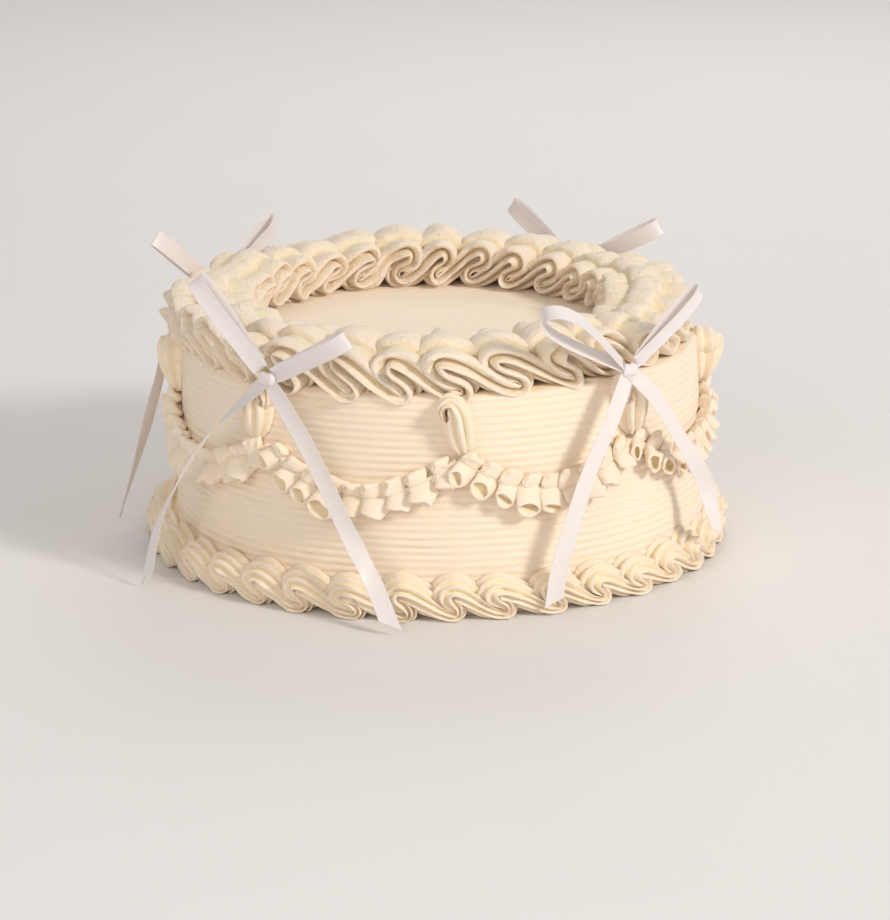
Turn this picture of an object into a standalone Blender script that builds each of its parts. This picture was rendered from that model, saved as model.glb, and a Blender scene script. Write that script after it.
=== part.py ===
"""Round buttercream cake with combed sides, piped borders, swags, drops and ribbon bows.

Metres, +Z up. The origin is the centre of the flat underside. Angles are in degrees, seen
from above: 0 is the front (-Y) and they grow counterclockwise, towards +X.
"""

import math
import random

import bmesh
import bpy
import numpy as np

# Cake body
CAKE_HEIGHT = 0.0844
TOP_RADIUS = 0.1025
BASE_RADIUS = 0.1075
EDGE_BEVEL = 0.0012
RIDGE_COUNT = 29
PLAIN_RIDGES = 4
RIDGE_DEPTH = 0.0006
BODY_SEGMENTS = 30

# Clearance kept between pieces that touch
GAP = 0.0003

# Top border: one continuous rope of ruffled shells
TOP_SHELLS = 29
TOP_CENTRE_RADIUS = 0.0875
TOP_HALF_WIDTH = 0.0180
TOP_SHELL_HEIGHT = 0.0205
TOP_LEAN = 0.011
TOP_FINS = 6
TOP_GROOVE = 0.82
TOP_RISE_SHARE = 0.56
TOP_WIDTH_KEPT = 0.45
TALL_SHELLS_ANGLE = -156.0
TALL_SHELLS_SPREAD = 20.0
TALL_SHELLS_EXTRA = 0.12
# Share of a shell's travel and its size there
TOP_GROWTH = ((0.0, 0.62), (0.22, 0.82), (0.48, 0.96), (0.74, 1.0), (0.93, 0.88))

# Base border: smaller star shells round the foot
BASE_SHELLS = 37
BASE_SHELL_REACH = 0.0085
BASE_SHELL_HEIGHT = 0.0155
BASE_LEAN = 0.006
BASE_FLUTES = 7
BASE_GROOVE = 0.84
BASE_CENTRE_SHARE = 0.36
BASE_BACK_SHARE = 0.93
BASE_FOOT_SHARE = 0.55
BASE_STAND_OFF = 0.0006
BASE_FIRST_FLUTE = 82.0
BASE_LAST_FLUTE = -10.0
BASE_GROWTH = ((0.0, 0.66), (0.42, 1.0), (0.84, 0.92))

# Drops: upright shells on the side, at uneven angles
DROP_ANGLES = (-87.0, -38.5, 3.0, 42.5, 89.0, 135.0, 181.0, 227.0)
DROP_TOP = 0.0875
DROP_BOTTOM = 0.0637
DROP_HALF_WIDTH = 0.0061
DROP_DEPTH = 0.0108
DROP_FLUTES = 7
DROP_GROOVE = 0.84
DROP_BACK_SHARE = 0.8
DROP_EDGE_DEPTH = 0.0012
DROP_DRIFT = 0.0012
DROP_GROWTH = ((0.0, 0.42), (0.14, 0.88), (0.40, 1.0), (0.72, 0.74), (1.0, 0.22))

# Swags: ruffled garlands from drop to drop
SWAG_LOBES = 9
SWAG_END_HEIGHT = 0.0602
SWAG_LOW_HEIGHT = 0.0465
SWAG_END_ANGLE = 1.35
SWAG_HALF_WIDTH = 0.0056
SWAG_DEPTH = 0.0080
SWAG_BETWEEN_LOBES = 0.74
SWAG_TIP = 0.66
SWAG_LOW_VARIATION = 0.0015
# Lobe's section from its lower to its upper edge: shares of its half width and depth
SWAG_SECTION = ((-0.86, 0.0), (-1.08, 0.42), (-0.62, 1.0), (0.62, 0.82), (0.96, 0.0))
# The crease between the lobes keeps its depth all along the swag
SWAG_CREASE = (0.10, 0.385)

# Ribbon bows
RIBBON_WIDTH = 0.0070
RIBBON_THICKNESS = 0.0006
KNOT_SIZE = (0.0074, 0.0052, 0.0070)
KNOT_SEGMENTS = 8
KNOT_RINGS = 5
LOOP_STATIONS = 9
LOOP_FULLNESS = 0.8
TAIL_STATIONS = 7

# Uneven hand piping
PITCH_VARIATION = 0.10
SIZE_VARIATION = 0.06
HAND_SEED = 7

# Finishes: base colour and roughness
BUTTERCREAM = ((0.90, 0.80, 0.61), 0.55)
RIBBON = ((0.88, 0.80, 0.79), 0.35)


def place(angle, radius, height):
    """Point at an angle round the cake's axis."""
    turn = math.radians(angle)
    return np.array((radius * math.sin(turn), -radius * math.cos(turn), height))


def body_radius(height):
    """Radius of the cake's side over the ridges' crests."""
    share = min(max(height / CAKE_HEIGHT, 0.0), 1.0)
    return BASE_RADIUS + (TOP_RADIUS - BASE_RADIUS) * share


def give_material(obj, name, finish):
    """Plain finish of one piece."""
    colour, roughness = finish
    material = bpy.data.materials.new(name)
    material.use_nodes = True
    shader = material.node_tree.nodes["Principled BSDF"]
    shader.inputs["Base Color"].default_value = (*colour, 1.0)
    shader.inputs["Roughness"].default_value = roughness
    shader.inputs["Metallic"].default_value = 0.0
    obj.data.materials.append(material)


def add_piece(name, mesh, finish, collection):
    """Object of one piece, with its own material."""
    obj = bpy.data.objects.new(name, mesh)
    collection.objects.link(obj)
    give_material(obj, name + "_finish", finish)
    return obj


def loft(name, rings, closed):
    """Closed mesh through rings of points: a tube with flat ends, or one that meets itself."""
    count = len(rings[0])
    shape = bmesh.new()
    rows = [[shape.verts.new(point) for point in ring] for ring in rings]
    bands = list(zip(rows, rows[1:]))
    if closed:
        bands.append((rows[-1], rows[0]))
    else:
        shape.faces.new(rows[0])
        shape.faces.new(rows[-1])
    for first, second in bands:
        for index in range(count):
            following = (index + 1) % count
            shape.faces.new((first[index], first[following], second[following], second[index]))
    bmesh.ops.triangulate(shape, faces=shape.faces[:])
    bmesh.ops.recalc_face_normals(shape, faces=shape.faces[:])
    mesh = bpy.data.meshes.new(name)
    shape.to_mesh(mesh)
    shape.free()
    return mesh


def uneven_steps(count, draw):
    """Shares of a full turn, each a little longer or shorter than the next."""
    steps = [1.0 + draw.uniform(-PITCH_VARIATION, PITCH_VARIATION) for _ in range(count)]
    total = sum(steps)
    return [step / total for step in steps]


def angle_between(first, second):
    """Smallest angle from one direction to another, in degrees."""
    return abs((first - second + 180.0) % 360.0 - 180.0)


def make_body(collection):
    """Turned body: level top, softened edge and combed side."""
    pitch = CAKE_HEIGHT / RIDGE_COUNT
    profile = [(0.0, CAKE_HEIGHT), (TOP_RADIUS - EDGE_BEVEL, CAKE_HEIGHT)]
    for ridge in range(RIDGE_COUNT, PLAIN_RIDGES, -1):
        crest = (ridge - 0.5) * pitch
        groove = (ridge - 1) * pitch
        profile.append((body_radius(crest), crest))
        profile.append((body_radius(groove) - RIDGE_DEPTH, groove))
    profile += [(BASE_RADIUS - RIDGE_DEPTH, 0.0), (0.0, 0.0)]
    mesh = bpy.data.meshes.new("cake_body")
    edges = [(index, index + 1) for index in range(len(profile) - 1)]
    mesh.from_pydata([(radius, 0.0, height) for radius, height in profile], edges, [])
    body = add_piece("cake_body", mesh, BUTTERCREAM, collection)
    turn = body.modifiers.new("Turn", "SCREW")
    turn.steps = turn.render_steps = BODY_SEGMENTS
    turn.use_merge_vertices = True
    turn.merge_threshold = 0.00001


def top_section():
    """Star section of the top border for a full-size shell: offsets across and up.

    A fat fin stands on top, and two fins show on each side. The underside is level.
    """
    rise = TOP_RISE_SHARE * TOP_SHELL_HEIGHT
    centre = TOP_SHELL_HEIGHT - rise
    step_turn = math.pi / TOP_FINS
    points = []
    for step in range(2 * TOP_FINS):
        turn = 0.5 * math.pi - step_turn * step
        fin = TOP_GROOVE if step % 2 else 1.0
        across = TOP_HALF_WIDTH * fin * math.cos(turn) / math.cos(step_turn)
        under = math.sin(turn) < -math.sin(1.1 * step_turn)
        up = 0.0 if under else centre + rise * fin * math.sin(turn)
        points.append((across, up))
    return points


def make_top_border(draw, collection):
    """Rope of shells whose curled heads lean clockwise over the shell ahead."""
    section = top_section()
    rings = []
    angle = 0.0
    for share in uneven_steps(TOP_SHELLS, draw):
        near_tall = angle_between(angle, TALL_SHELLS_ANGLE) / TALL_SHELLS_SPREAD
        size = 1.0 + draw.uniform(-SIZE_VARIATION, SIZE_VARIATION)
        height = size + TALL_SHELLS_EXTRA * math.exp(-near_tall ** 2)
        for phase, scale in TOP_GROWTH:
            width = size * (TOP_WIDTH_KEPT + (1.0 - TOP_WIDTH_KEPT) * scale)
            ring = []
            for across, up in section:
                lift = up * scale * height
                lean = TOP_LEAN * (lift / TOP_SHELL_HEIGHT - 0.5)
                radius = TOP_CENTRE_RADIUS + across * width
                turned = angle - 360.0 * share * phase - math.degrees(lean / TOP_CENTRE_RADIUS)
                ring.append(place(turned, radius, CAKE_HEIGHT + GAP + lift))
            rings.append(ring)
        angle -= 360.0 * share
    add_piece("top_border", loft("top_border", rings, True), BUTTERCREAM, collection)


def make_base_border(draw, collection):
    """Rope of small star shells in the corner between the cake's side and what it stands on."""
    span = BASE_LAST_FLUTE - BASE_FIRST_FLUTE
    rings = []
    angle = 0.0
    for share in uneven_steps(BASE_SHELLS, draw):
        size = 1.0 + draw.uniform(-SIZE_VARIATION, SIZE_VARIATION)
        for phase, scale in BASE_GROWTH:
            top = BASE_SHELL_HEIGHT * scale * size
            widest = BASE_SHELL_REACH * scale * size
            points = [(0.0, 0.0), (0.0, top * BASE_BACK_SHARE)]
            for step in range(BASE_FLUTES):
                turn = math.radians(BASE_FIRST_FLUTE + span * step / (BASE_FLUTES - 1))
                fin = BASE_GROOVE if step % 2 else 1.0
                rise = (1.0 - BASE_CENTRE_SHARE) * fin * math.sin(turn)
                reach = BASE_STAND_OFF + widest * fin * math.cos(turn)
                points.append((reach, top * (BASE_CENTRE_SHARE + rise)))
            points.append((BASE_FOOT_SHARE * widest, 0.0))
            ring = []
            for reach, up in points:
                lean = BASE_LEAN * (up / BASE_SHELL_HEIGHT - 0.5)
                radius = body_radius(up) + GAP + reach
                turned = angle - 360.0 * share * phase - math.degrees(lean / BASE_RADIUS)
                ring.append(place(turned, radius, up))
            rings.append(ring)
        angle -= 360.0 * share
    add_piece("base_border", loft("base_border", rings, True), BUTTERCREAM, collection)


def make_drop(number, angle, draw, collection):
    """Upright fluted shell that swells from the rim and tapers down to a tail."""
    size = 1.0 + draw.uniform(-SIZE_VARIATION, SIZE_VARIATION)
    rings = []
    for phase, scale in DROP_GROWTH:
        height = DROP_TOP + (DROP_BOTTOM - DROP_TOP) * phase
        back = body_radius(height) + GAP
        if height > CAKE_HEIGHT:
            back = TOP_CENTRE_RADIUS + TOP_HALF_WIDTH + GAP
        half = DROP_HALF_WIDTH * scale * size
        points = [(-DROP_BACK_SHARE * half, back)]
        for step in range(DROP_FLUTES):
            turn = math.pi * step / (DROP_FLUTES - 1)
            fin = DROP_GROOVE if step % 2 else 1.0
            depth = (DROP_EDGE_DEPTH + DROP_DEPTH * size * fin * math.sin(turn)) * scale
            points.append((-half * fin * math.cos(turn), back + depth))
        points.append((DROP_BACK_SHARE * half, back))
        ring = []
        for across, radius in points:
            turned = angle + math.degrees((across + DROP_DRIFT * phase) / TOP_RADIUS)
            ring.append(place(turned, radius, height))
        rings.append(ring)
    name = "drop_%02d" % number
    add_piece(name, loft(name, rings, False), BUTTERCREAM, collection)


def make_swag(number, start, end, draw, collection):
    """Garland of overlapping lobes hung between two drops, with a crease along its middle."""
    tail = math.degrees(DROP_DRIFT / TOP_RADIUS)
    first = start + tail + SWAG_END_ANGLE
    last = end + tail - SWAG_END_ANGLE
    low = SWAG_LOW_HEIGHT + draw.uniform(-SWAG_LOW_VARIATION, SWAG_LOW_VARIATION)
    stations = 2 * SWAG_LOBES + 1
    rings = []
    for station in range(stations):
        share = station / (stations - 1)
        angle = first + (last - first) * share
        height = low + (SWAG_END_HEIGHT - low) * (2.0 * share - 1.0) ** 2
        rise = 4.0 * (SWAG_END_HEIGHT - low) * (2.0 * share - 1.0)
        run = math.radians(last - first) * body_radius(height)
        slope = math.atan2(rise, run)
        lobe = 1.0 if station % 2 else SWAG_BETWEEN_LOBES
        if station in (0, stations - 1):
            lobe = SWAG_TIP
        half = SWAG_HALF_WIDTH * lobe
        depth = SWAG_DEPTH * lobe
        points = [(across * half, out * depth) for across, out in SWAG_SECTION]
        points.insert(3, (SWAG_CREASE[0] * half, SWAG_CREASE[1] * SWAG_DEPTH))
        ring = []
        for across, out in points:
            up = height + across * math.cos(slope)
            turned = angle - math.degrees(across * math.sin(slope) / body_radius(height))
            ring.append(place(turned, body_radius(up) + GAP + out, up))
        rings.append(ring)
    name = "swag_%02d" % number
    add_piece(name, loft(name, rings, False), BUTTERCREAM, collection)


def ribbon_strip(centres, across):
    """Rings of a flat strap: its centre line and, at each point, the direction across it."""
    centres = np.array(centres)
    along = np.gradient(centres, axis=0)
    across = np.array(across) - np.sum(np.array(across) * along, axis=1)[:, None] * along / np.sum(
        along * along, axis=1)[:, None]
    across /= np.linalg.norm(across, axis=1)[:, None]
    face = np.cross(along, across)
    face /= np.linalg.norm(face, axis=1)[:, None]
    half = 0.5 * RIBBON_WIDTH * across
    thick = 0.5 * RIBBON_THICKNESS * face
    return list(np.stack((centres - half - thick, centres + half - thick,
                          centres + half + thick, centres - half + thick), axis=1))


def smooth_line(points, count):
    """Even samples of a smooth curve through a few points (Catmull-Rom)."""
    points = np.array(points)
    padded = np.vstack((2.0 * points[0] - points[1], points, 2.0 * points[-1] - points[-2]))
    samples = np.linspace(0.0, len(points) - 1.0, count)
    line = []
    for sample in samples:
        index = min(int(sample), len(points) - 2)
        t = sample - index
        before, start, end, after = padded[index:index + 4]
        line.append(0.5 * (2.0 * start + (end - before) * t
                           + (2.0 * before - 5.0 * start + 4.0 * end - after) * t ** 2
                           + (3.0 * start - before - 3.0 * end + after) * t ** 3))
    return np.array(line)


def loop_rings(knot, tip, spread, opening):
    """Strap that runs from the knot to the loop's tip and back, leaf-shaped from the side."""
    knot = np.array(knot)
    reach = np.array(tip) - knot
    rings_at = np.linspace(0.0, 1.0, LOOP_STATIONS)
    travel = np.sin(math.pi * rings_at) ** LOOP_FULLNESS
    bulge = np.sin(2.0 * math.pi * rings_at) * opening
    spread = np.array(spread) / np.linalg.norm(spread)
    centres = knot + travel[:, None] * reach + bulge[:, None] * spread
    across = np.tile(np.cross(reach, spread), (LOOP_STATIONS, 1))
    return ribbon_strip(centres, across)


def make_knot():
    """Small pinched block where the loops and tails meet, at the origin, depth along Y."""
    shape = bmesh.new()
    bmesh.ops.create_uvsphere(shape, u_segments=KNOT_SEGMENTS, v_segments=KNOT_RINGS, radius=0.5)
    bmesh.ops.scale(shape, vec=KNOT_SIZE, verts=shape.verts[:])
    bmesh.ops.triangulate(shape, faces=shape.faces[:])
    mesh = bpy.data.meshes.new("knot")
    shape.to_mesh(mesh)
    shape.free()
    return mesh


def make_bow(name, knot, tips, spreads, openings, tails, collection):
    """One ribbon: two loops, a knot and two tails, joined into a single solid."""
    angle, radius, height = knot
    centre = place(angle, radius, height)
    outward = place(angle, 1.0, 0.0)
    parts = bpy.data.collections.new(name + "_parts")
    bpy.context.scene.collection.children.link(parts)
    for number, (tip, spread, opening) in enumerate(zip(tips, spreads, openings)):
        side, out, up = spread
        sideways = place(angle + 90.0, 1.0, 0.0)
        direction = side * sideways + out * outward + up * np.array((0.0, 0.0, 1.0))
        strip = loft("loop", loop_rings(centre, place(*tip), direction, opening), False)
        parts.objects.link(bpy.data.objects.new("%s_loop_%d" % (name, number), strip))
    for number, tail in enumerate(tails):
        line = smooth_line([centre] + [place(*point) for point in tail], TAIL_STATIONS)
        across = [np.cross((0.0, 0.0, -1.0), (point[0], point[1], 0.0)) for point in line]
        strip = loft("tail", ribbon_strip(line, across), False)
        parts.objects.link(bpy.data.objects.new("%s_tail_%d" % (name, number), strip))
    bow = add_piece(name, make_knot(), RIBBON, collection)
    bow.location = centre
    bow.rotation_euler = (0.0, 0.0, math.radians(angle))
    join_parts(bow, parts)


def join_parts(obj, parts):
    """Union of an object with everything in a collection, applied; the loose parts then go."""
    join = obj.modifiers.new("Join", "BOOLEAN")
    join.operation = "UNION"
    join.operand_type = "COLLECTION"
    join.collection = parts
    join.solver = "EXACT"
    join.use_self = True
    bpy.context.view_layer.update()
    evaluated = obj.evaluated_get(bpy.context.evaluated_depsgraph_get())
    joined = bpy.data.meshes.new_from_object(evaluated)
    obj.modifiers.clear()
    obj.data = joined
    for part in list(parts.objects):
        bpy.data.objects.remove(part)
    bpy.data.collections.remove(parts)


# Bows: knot, loop tips and tail points as (angle, radius, height); the loops' opening
# direction is (sideways, outwards, up) as seen from outside
BOWS = {
    "bow_front_left": {
        "knot": (-34.6, 0.1137, 0.0893),
        "tips": ((-49.0, 0.121, 0.1248), (-17.0, 0.116, 0.1085)),
        "spreads": ((0.35, 1.0, 0.1), (0.0, 1.0, -0.25)),
        "openings": (0.0030, 0.0026),
        "tails": (
            ((-47.2, 0.117, 0.066), (-55.5, 0.121, 0.044), (-59.4, 0.1275, 0.0225),
             (-57.4, 0.1350, 0.0022)),
            ((-24.7, 0.117, 0.0645), (-16.9, 0.119, 0.0350), (-11.6, 0.125, 0.0180),
             (-8.2, 0.1328, 0.0022)),
        ),
    },
    "bow_front_right": {
        "knot": (38.8, 0.1137, 0.0906),
        "tips": ((19.6, 0.1175, 0.1178), (55.2, 0.120, 0.1166)),
        "spreads": ((0.45, 0.75, 0.6), (0.15, 1.0, -0.2)),
        "openings": (0.0062, 0.0026),
        "tails": (
            ((33.5, 0.1165, 0.073), (28.6, 0.1170, 0.0550), (22.6, 0.1185, 0.0230),
             (20.9, 0.1190, 0.0060)),
            ((45.1, 0.1165, 0.0768), (51.6, 0.118, 0.0583), (58.4, 0.120, 0.0390),
             (59.6, 0.1245, 0.0190)),
        ),
    },
    "bow_rear_right": {
        "knot": (148.0, 0.1080, 0.0890),
        "tips": ((164.7, 0.118, 0.1116), (128.5, 0.118, 0.1100)),
        "spreads": ((0.0, 1.0, 0.0), (0.2, 1.0, 0.1)),
        "openings": (0.0022, 0.0034),
        "tails": (
            ((153.0, 0.1165, 0.070), (158.0, 0.118, 0.0500), (161.5, 0.121, 0.0250),
             (166.0, 0.1260, 0.0050)),
            ((143.0, 0.1165, 0.0720), (137.0, 0.118, 0.0540), (134.0, 0.120, 0.0300),
             (130.0, 0.1240, 0.0120)),
        ),
    },
    "bow_rear_left": {
        "knot": (-120.0, 0.1068, 0.0890),
        "tips": ((-103.0, 0.118, 0.1168), (-143.0, 0.117, 0.1090)),
        "spreads": ((0.0, 1.0, 0.2), (-0.2, 1.0, 0.2)),
        "openings": (0.0024, 0.0030),
        "tails": (
            ((-109.0, 0.117, 0.072), (-103.3, 0.119, 0.0550), (-99.0, 0.125, 0.0290),
             (-91.5, 0.1305, 0.0070)),
            ((-126.0, 0.1165, 0.0700), (-132.0, 0.118, 0.0500), (-137.0, 0.121, 0.0270),
             (-139.0, 0.1250, 0.0060)),
        ),
    },
}


def main():
    """Clear the scene and build every piece in one collection."""
    for obj in list(bpy.data.objects):
        bpy.data.objects.remove(obj, do_unlink=True)
    cake = bpy.data.collections.new("piped_buttercream_cake")
    bpy.context.scene.collection.children.link(cake)
    draw = random.Random(HAND_SEED)
    make_body(cake)
    make_top_border(draw, cake)
    make_base_border(draw, cake)
    for number, angle in enumerate(DROP_ANGLES, 1):
        make_drop(number, angle, draw, cake)
    ends = DROP_ANGLES[1:] + (DROP_ANGLES[0] + 360.0,)
    for number, (start, end) in enumerate(zip(DROP_ANGLES, ends), 1):
        make_swag(number, start, end, draw, cake)
    for name, bow in BOWS.items():
        make_bow(name, bow["knot"], bow["tips"], bow["spreads"], bow["openings"], bow["tails"], cake)


main()
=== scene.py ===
"""Dresses the solids of a round piped cake: combed sides and top, ruffled borders, drops,
swags and satin ribbon bows.

Metres, +Z up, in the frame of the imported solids. Angles are seen from above: 0 is the front
(-Y) and they grow counterclockwise, towards +X. Piping runs clockwise.
"""

import math
import random

import bpy
import numpy as np
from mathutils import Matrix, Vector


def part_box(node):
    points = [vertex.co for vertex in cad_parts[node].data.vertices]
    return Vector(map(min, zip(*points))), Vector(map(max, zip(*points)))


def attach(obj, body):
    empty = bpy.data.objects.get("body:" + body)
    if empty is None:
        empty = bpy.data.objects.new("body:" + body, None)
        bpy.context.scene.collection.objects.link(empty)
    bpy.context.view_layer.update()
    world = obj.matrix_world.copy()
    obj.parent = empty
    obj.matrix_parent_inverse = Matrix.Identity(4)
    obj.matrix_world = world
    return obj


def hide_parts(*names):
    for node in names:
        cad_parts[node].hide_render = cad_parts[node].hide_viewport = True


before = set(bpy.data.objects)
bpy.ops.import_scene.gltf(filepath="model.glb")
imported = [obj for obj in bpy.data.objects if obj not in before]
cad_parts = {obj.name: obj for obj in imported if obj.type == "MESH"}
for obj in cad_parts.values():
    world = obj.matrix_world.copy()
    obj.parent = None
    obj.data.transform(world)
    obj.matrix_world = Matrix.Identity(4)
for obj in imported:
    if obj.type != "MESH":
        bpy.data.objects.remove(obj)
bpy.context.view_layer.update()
BODY_LOW, BODY_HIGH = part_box("cake_body")

bl_info = {
    "name": "Piped Cake Finish",
    "version": (1, 0, 0),
    "blender": (4, 5, 0),
    "location": "View3D > Sidebar > Cake",
    "description": "Covers the solids of a piped cake with buttercream and ribbon surfaces",
    "category": "Add Mesh",
}

TAU = 2.0 * math.pi
MM = 0.001

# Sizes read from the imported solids, or repeated from the part's own named sizes
CAKE_HEIGHT = BODY_HIGH.z
BASE_RADIUS = 0.1075
TOP_RADIUS = 0.1025
DROP_ANGLES = (-87.0, -38.5, 3.0, 42.5, 89.0, 135.0, 181.0, 227.0)
SWAG_OFFSET_ANGLE = 0.67
SWAG_END_ANGLE = 0.20
SWAG_END_HEIGHT = 0.0602
SWAG_LOW_HEIGHT = 0.0465
LOBE_PITCH = 0.0084
TOP_SHELLS = 29
BASE_SHELLS = 37
TALL_SHELLS_ANGLE = -156.0
TALL_SHELLS_SPREAD = 20.0
TALL_SHELLS_EXTRA = 0.12
HAND_SEED = 7

# The camera: a photograph 890 by 920 pixels, its focal length in those pixels
PHOTO_HEIGHT = 920.0
FOCAL_LENGTH = 3500.0
CAMERA_DISTANCE = 1.4159
CAMERA_ELEVATION = 16.2408
CAMERA_ROLL = -0.3416
CAMERA_TARGET = (0.0018, 0.0, 0.0300)


def full_turn(count):
    """Even steps round a whole turn, in radians."""
    return np.arange(count) * TAU / count


def held(numbers):
    """Numbers held between 0 and 1."""
    return np.clip(numbers, 0.0, 1.0)


def between(pair, share):
    """The number at a share of the way from a pair's first to its second."""
    return pair[0] + (pair[1] - pair[0]) * share


def squared(wave, power):
    """A wave between -1 and 1, squared off: its sign times its size ^ power."""
    return np.sign(wave) * np.abs(wave) ** power


def round_axis(turn, radius, height):
    """Points round the cake's axis at a turn in radians: (r sin t, -r cos t, z)."""
    turn, radius, height = np.broadcast_arrays(turn, radius, height)
    return np.stack((radius * np.sin(turn), -radius * np.cos(turn), height), axis=-1)


def body_radius(height):
    """Radius of the cake's side over the ridges' crests, a straight taper from foot to rim."""
    return between((BASE_RADIUS, TOP_RADIUS), held(np.asarray(height) / CAKE_HEIGHT))


# Waves in a sum of lumps, the length of a wave for lumps of size 1, the share of the product
# and the height of the first octave
LUMP_WAVES = 4
LUMP_LENGTH = 1.7
LUMP_PRODUCT = 0.35
LUMP_HEIGHT = 0.36


def lumps(points, size, seed, octaves=3):
    """Smooth unevenness between about -1 and 1.

    Each octave adds four sine waves in random directions and their product with four more,
    with twice the wavelength and half the height of the one before.
    """
    draw = np.random.default_rng(seed)
    total = np.zeros(points.shape[:-1])
    for octave in range(octaves):
        waves = draw.normal(size=(3, 2 * LUMP_WAVES)) * TAU / (size * 2.0 ** octave * LUMP_LENGTH)
        phases = draw.uniform(0.0, TAU, 2 * LUMP_WAVES)
        sines = np.sin(points @ waves + phases)
        first = sines[..., :LUMP_WAVES].sum(-1)
        second = sines[..., LUMP_WAVES:].sum(-1)
        total += (first + first * second * LUMP_PRODUCT) * LUMP_HEIGHT / 2.0 ** octave
    return total


def signed_volume(points, faces):
    """Six times the volume inside quads: the sum of triple products over both triangles."""
    a, b, c, d = (points[faces[:, index]] for index in range(4))
    return np.sum(a * np.cross(b, c)) + np.sum(a * np.cross(c, d))


def build_mesh(name, corners, loops, starts, values):
    """A smooth mesh of points, face corners, where each face's corners start, and values."""
    mesh = bpy.data.meshes.new(name)
    mesh.vertices.add(len(corners))
    mesh.vertices.foreach_set("co", corners.astype(np.float32).ravel())
    mesh.loops.add(len(loops))
    mesh.loops.foreach_set("vertex_index", loops.astype(np.int32))
    mesh.polygons.add(len(starts))
    mesh.polygons.foreach_set("loop_start", starts.astype(np.int32))
    mesh.update(calc_edges=True)
    mesh.shade_smooth()
    for label, numbers in values.items():
        layer = mesh.attributes.new(label, "FLOAT", "POINT")
        layer.data.foreach_set("value", numbers.astype(np.float32))
    return mesh


def tube_mesh(name, points, closed, values):
    """Closed surface over a grid of points: rows are sections, each section is a closed loop.

    The last row meets the first if closed, otherwise both ends are shut by a fan of triangles
    round the section's middle point. Values are numbers for each grid point, by name.
    """
    rows, columns = points.shape[:2]
    index = np.arange(rows * columns).reshape(rows, columns)
    after = np.roll(index, -1, axis=1)
    faces = np.stack((index[:-1], after[:-1], after[1:], index[1:]), axis=-1).reshape(-1, 4)
    if closed:
        seam = np.stack((index[-1], after[-1], after[0], index[0]), axis=-1)
        faces = np.vstack((faces, seam))
    corners = points.reshape(-1, 3)
    flipped = signed_volume(corners, faces) < 0.0
    if flipped:
        faces = faces[:, ::-1]
    loops, starts = faces.ravel(), np.arange(len(faces)) * 4
    if not closed:
        first, last = np.full(columns, rows * columns), np.full(columns, rows * columns + 1)
        shut = np.vstack((np.stack((after[0], index[0], first), axis=-1),
                          np.stack((index[-1], after[-1], last), axis=-1)))
        if flipped:
            shut = shut[:, ::-1]
        corners = np.vstack((corners, points[0].mean(axis=0), points[-1].mean(axis=0)))
        starts = np.concatenate((starts, len(loops) + np.arange(len(shut)) * 3))
        loops = np.concatenate((loops, shut.ravel()))
    spread = {}
    for label, numbers in values.items():
        numbers = np.broadcast_to(numbers, (rows, columns)).ravel()
        if not closed:
            numbers = np.append(numbers, (numbers[:columns].mean(), numbers[-columns:].mean()))
        spread[label] = numbers
    mesh = build_mesh(name, corners, loops, starts, spread)
    mesh.validate()
    return mesh


def read_numbers(items, label, width, kind):
    """All of a mesh's numbers of one kind, row by row."""
    numbers = np.empty(len(items) * width, kind)
    items.foreach_get(label, numbers)
    return numbers


def joined(name, meshes):
    """One mesh of several: their points, faces and values laid end to end."""
    corners, loops, starts, labels = [], [], [], {}
    points, ends = 0, 0
    for mesh in meshes:
        corners.append(read_numbers(mesh.vertices, "co", 3, np.float32))
        loops.append(read_numbers(mesh.loops, "vertex_index", 1, np.int32) + points)
        starts.append(read_numbers(mesh.polygons, "loop_start", 1, np.int32) + ends)
        for layer in mesh.attributes:
            if layer.data_type == "FLOAT" and layer.domain == "POINT":
                numbers = read_numbers(layer.data, "value", 1, np.float32)
                labels.setdefault(layer.name, []).append(numbers)
        points += len(mesh.vertices)
        ends += len(mesh.loops)
        bpy.data.meshes.remove(mesh)
    values = {label: np.concatenate(numbers) for label, numbers in labels.items()}
    return build_mesh(name, np.concatenate(corners).reshape(-1, 3), np.concatenate(loops),
                      np.concatenate(starts), values)


def show_piece(name, mesh, material, nodes):
    """A finished piece that stands for its solids and rides on the root body."""
    piece = bpy.data.objects.new(name, mesh)
    bpy.context.scene.collection.objects.link(piece)
    mesh.materials.append(material)
    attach(piece, "root")
    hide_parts(*nodes)
    return piece


class Value:
    """A number that changes over a surface. Its operators add Math nodes."""

    def __init__(self, paint, socket):
        self.paint = paint
        self.socket = socket

    def math(self, operation, *others):
        """Math node of this value and others."""
        inputs = dict(enumerate((self,) + others))
        return self.paint.node("ShaderNodeMath", {"operation": operation}, inputs)

    def __add__(self, other):
        return self.math("ADD", other)

    __radd__ = __add__

    def __mul__(self, other):
        return self.math("MULTIPLY", other)

    __rmul__ = __mul__

    def __sub__(self, other):
        return self.math("SUBTRACT", other)

    def __rsub__(self, other):
        return (self * -1.0) + other

    def clamp(self):
        """The value held between 0 and 1."""
        return self.paint.node("ShaderNodeClamp", {}, {"Value": self}, "Result")


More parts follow.
